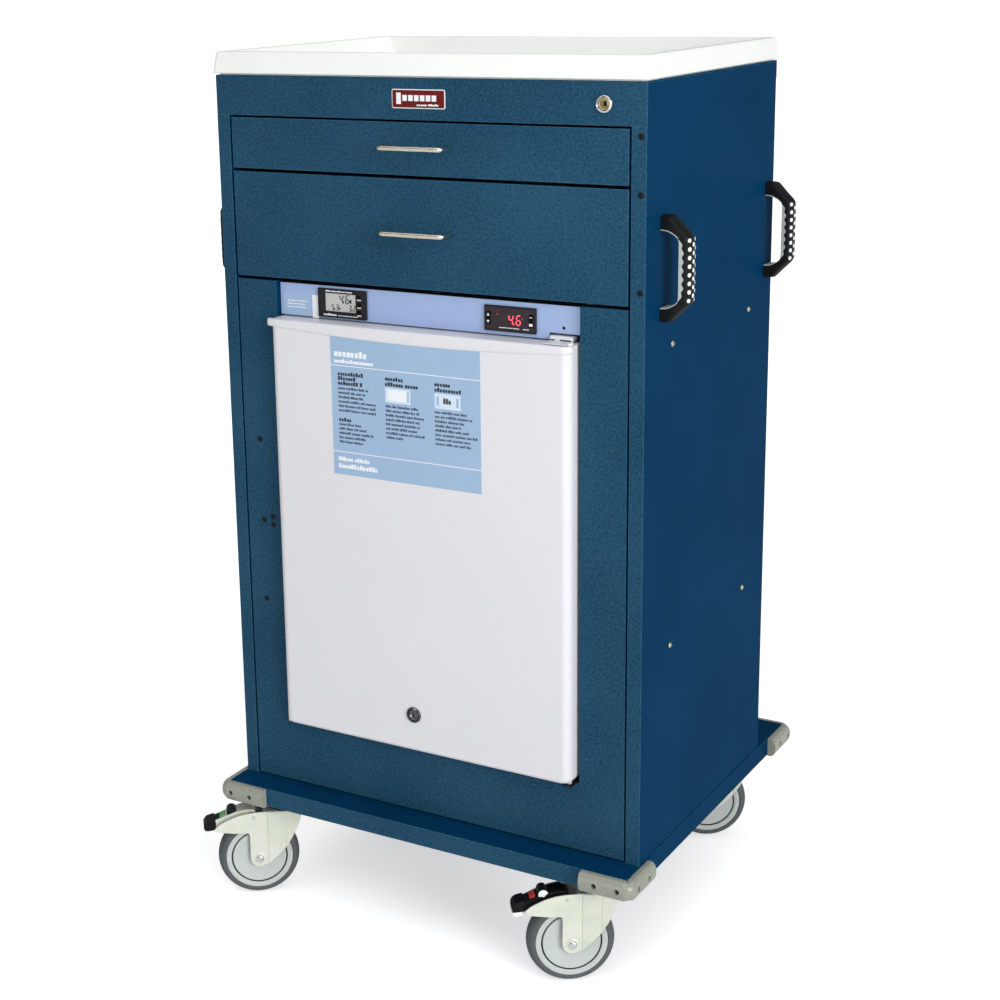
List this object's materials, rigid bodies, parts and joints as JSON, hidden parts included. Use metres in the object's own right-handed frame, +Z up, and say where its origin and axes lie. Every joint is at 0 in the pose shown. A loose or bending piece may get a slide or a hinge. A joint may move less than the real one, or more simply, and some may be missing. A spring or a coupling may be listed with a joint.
{
  "type": "medication cart",
  "caption": "Mobile medication cart with drawers over a built-in lockable refrigerator, tray top, side handles and a bumpered platform on braked swivel casters.",
  "frame": {"origin": "on the floor, in the middle of the cart's footprint", "axes": "+Z up; the drawers and the refrigerator door face -Y; +X is to the right of someone facing the front"},
  "size_m": [0.7442, 0.6534, 1.278],
  "materials": {
    "blue_powder_coat": "satin",
    "grey_bumper": "satin",
    "white_plastic": "satin",
    "fridge_white": "gloss",
    "liner_white": "satin",
    "strip_blue": "satin",
    "black_plastic": "satin",
    "key_grey": "matte",
    "nickel": "polished",
    "zinc": "satin",
    "galvanised": "satin",
    "wheel_grey": "satin",
    "tyre_grey": "matte",
    "compressor_black": "gloss",
    "shelf_glass": "gloss"
  },
  "bodies": {
    "cabinet": {"base_frame": "blue_powder_coat", "bumper_front_left": "grey_bumper", "bumper_rear_left": "grey_bumper", "bumper_front_right": "grey_bumper", "bumper_rear_right": "grey_bumper", "left_side_panel": "blue_powder_coat", "right_side_panel": "blue_powder_coat", "back_panel": "blue_powder_coat", "top_header": "blue_powder_coat", "worktop_tray": "white_plastic", "lower_front_panel": "blue_powder_coat", "drawer_bay_floor": "blue_powder_coat", "handle_left_front": "black_plastic", "handle_left_rear": "black_plastic", "handle_right_front": "black_plastic", "handle_right_rear": "black_plastic", "cabinet_lock_barrel": "nickel", "left_slide_rails": "galvanised", "right_slide_rails": "galvanised", "fridge_case": "fridge_white", "fridge_compressor": "compressor_black", "fridge_control_panel": "strip_blue", "alarm_thermometer": "black_plastic", "thermostat": "black_plastic", "fridge_top_hinge": "white_plastic", "fridge_shelf": "shelf_glass", "caster_plate_front_left": "zinc", "caster_plate_front_right": "zinc", "caster_plate_rear_left": "zinc", "caster_plate_rear_right": "zinc"},
    "cabinet_lock": {"cabinet_lock_plug": "nickel"},
    "upper_drawer": {"upper_drawer_front": "blue_powder_coat", "upper_drawer_box": "galvanised", "upper_drawer_pull": "nickel"},
    "upper_slide_middle_left": {"upper_slide_middle_left": "galvanised"},
    "upper_slide_middle_right": {"upper_slide_middle_right": "galvanised"},
    "lower_drawer": {"lower_drawer_front": "blue_powder_coat", "lower_drawer_box": "galvanised", "lower_drawer_pull": "nickel"},
    "lower_slide_middle_left": {"lower_slide_middle_left": "galvanised"},
    "lower_slide_middle_right": {"lower_slide_middle_right": "galvanised"},
    "fridge_door": {"fridge_door": "fridge_white", "fridge_door_liner": "liner_white"},
    "fridge_lock": {"fridge_lock": "nickel"},
    "thermostat_arrow_key": {"thermostat_arrow_key": "key_grey"},
    "thermostat_set_key": {"thermostat_set_key": "key_grey"},
    "swivel_front_left": {"caster_fork_front_left": "zinc"},
    "wheel_front_left": {"hub_front_left": "wheel_grey", "tyre_front_left": "tyre_grey"},
    "pedal_front_left": {"brake_pedal_front_left": "black_plastic"},
    "swivel_front_right": {"caster_fork_front_right": "zinc"},
    "wheel_front_right": {"hub_front_right": "wheel_grey", "tyre_front_right": "tyre_grey"},
    "pedal_front_right": {"brake_pedal_front_right": "black_plastic"},
    "swivel_rear_left": {"caster_fork_rear_left": "zinc"},
    "wheel_rear_left": {"hub_rear_left": "wheel_grey", "tyre_rear_left": "tyre_grey"},
    "swivel_rear_right": {"caster_fork_rear_right": "zinc"},
    "wheel_rear_right": {"hub_rear_right": "wheel_grey", "tyre_rear_right": "tyre_grey"}
  },
  "joints": [
    {"name": "cabinet_lock_turn", "type": "hinge", "parent": "cabinet", "child": "cabinet_lock", "pos_m": [0.272, -0.243, 1.218], "axis": [0, -1, 0], "range_deg": [0, 90]},
    {"name": "upper_drawer_slide", "type": "slide", "parent": "cabinet", "child": "upper_drawer", "axis": [0, -1, 0], "range_m": [0, 0.38]},
    {"name": "upper_left_slide_member", "type": "slide", "parent": "cabinet", "child": "upper_slide_middle_left", "axis": [0, -1, 0], "range_m": [0, 0.19]},
    {"name": "upper_right_slide_member", "type": "slide", "parent": "cabinet", "child": "upper_slide_middle_right", "axis": [0, -1, 0], "range_m": [0, 0.19]},
    {"name": "lower_drawer_slide", "type": "slide", "parent": "cabinet", "child": "lower_drawer", "axis": [0, -1, 0], "range_m": [0, 0.38]},
    {"name": "lower_left_slide_member", "type": "slide", "parent": "cabinet", "child": "lower_slide_middle_left", "axis": [0, -1, 0], "range_m": [0, 0.19]},
    {"name": "lower_right_slide_member", "type": "slide", "parent": "cabinet", "child": "lower_slide_middle_right", "axis": [0, -1, 0], "range_m": [0, 0.19]},
    {"name": "fridge_door_hinge", "type": "hinge", "parent": "cabinet", "child": "fridge_door", "pos_m": [0.229, -0.253, 0.6], "axis": [0, 0, 1], "range_deg": [0, 105]},
    {"name": "fridge_lock_turn", "type": "hinge", "parent": "fridge_door", "child": "fridge_lock", "pos_m": [-0.013, -0.265, 0.349], "axis": [0, -1, 0], "range_deg": [0, 90]},
    {"name": "thermostat_arrow_key_rock", "type": "hinge", "parent": "cabinet", "child": "thermostat_arrow_key", "pos_m": [0.1015, -0.2386, 0.9326], "axis": [1, 0, 0], "range_deg": [-3, 3], "stiffness_Nm_per_rad": 0.02},
    {"name": "thermostat_set_key_rock", "type": "hinge", "parent": "cabinet", "child": "thermostat_set_key", "pos_m": [0.1655, -0.2386, 0.9326], "axis": [1, 0, 0], "range_deg": [-3, 3], "stiffness_Nm_per_rad": 0.02},
    {"name": "front_left_swivel", "type": "hinge", "parent": "cabinet", "child": "swivel_front_left", "pos_m": [-0.268, -0.238, 0.15], "axis": [0, 0, 1], "continuous": true},
    {"name": "front_left_roll", "type": "hinge", "parent": "swivel_front_left", "child": "wheel_front_left", "pos_m": [-0.30025, -0.26412, 0.0625], "axis": [0.6293, -0.7771, 0], "continuous": true},
    {"name": "front_left_brake", "type": "hinge", "parent": "swivel_front_left", "child": "pedal_front_left", "pos_m": [-0.3053, -0.26821, 0.1315], "axis": [0.6293, -0.7771, 0], "range_deg": [0, 10]},
    {"name": "front_right_swivel", "type": "hinge", "parent": "cabinet", "child": "swivel_front_right", "pos_m": [0.268, -0.238, 0.15], "axis": [0, 0, 1], "continuous": true},
    {"name": "front_right_roll", "type": "hinge", "parent": "swivel_front_right", "child": "wheel_front_right", "pos_m": [0.23426, -0.26216, 0.0625], "axis": [0.5821, -0.8131, 0], "continuous": true},
    {"name": "front_right_brake", "type": "hinge", "parent": "swivel_front_right", "child": "pedal_front_right", "pos_m": [0.22897, -0.26594, 0.1315], "axis": [0.5821, -0.8131, 0], "range_deg": [0, 10]},
    {"name": "rear_left_swivel", "type": "hinge", "parent": "cabinet", "child": "swivel_rear_left", "pos_m": [-0.268, 0.264, 0.15], "axis": [0, 0, 1], "continuous": true},
    {"name": "rear_left_roll", "type": "hinge", "parent": "swivel_rear_left", "child": "wheel_rear_left", "pos_m": [-0.30648, 0.24845, 0.0625], "axis": [0.3746, -0.9272, 0], "continuous": true},
    {"name": "rear_right_swivel", "type": "hinge", "parent": "cabinet", "child": "swivel_rear_right", "pos_m": [0.268, 0.264, 0.15], "axis": [0, 0, 1], "continuous": true},
    {"name": "rear_right_roll", "type": "hinge", "parent": "swivel_rear_right", "child": "wheel_rear_right", "pos_m": [0.23136, 0.24452, 0.0625], "axis": [0.4695, -0.8829, 0], "continuous": true}
  ],
  "couplings": [
    {"joint": "upper_left_slide_member", "follows": "upper_drawer_slide", "ratio": 0.5},
    {"joint": "upper_right_slide_member", "follows": "upper_drawer_slide", "ratio": 0.5},
    {"joint": "lower_left_slide_member", "follows": "lower_drawer_slide", "ratio": 0.5},
    {"joint": "lower_right_slide_member", "follows": "lower_drawer_slide", "ratio": 0.5}
  ]
}
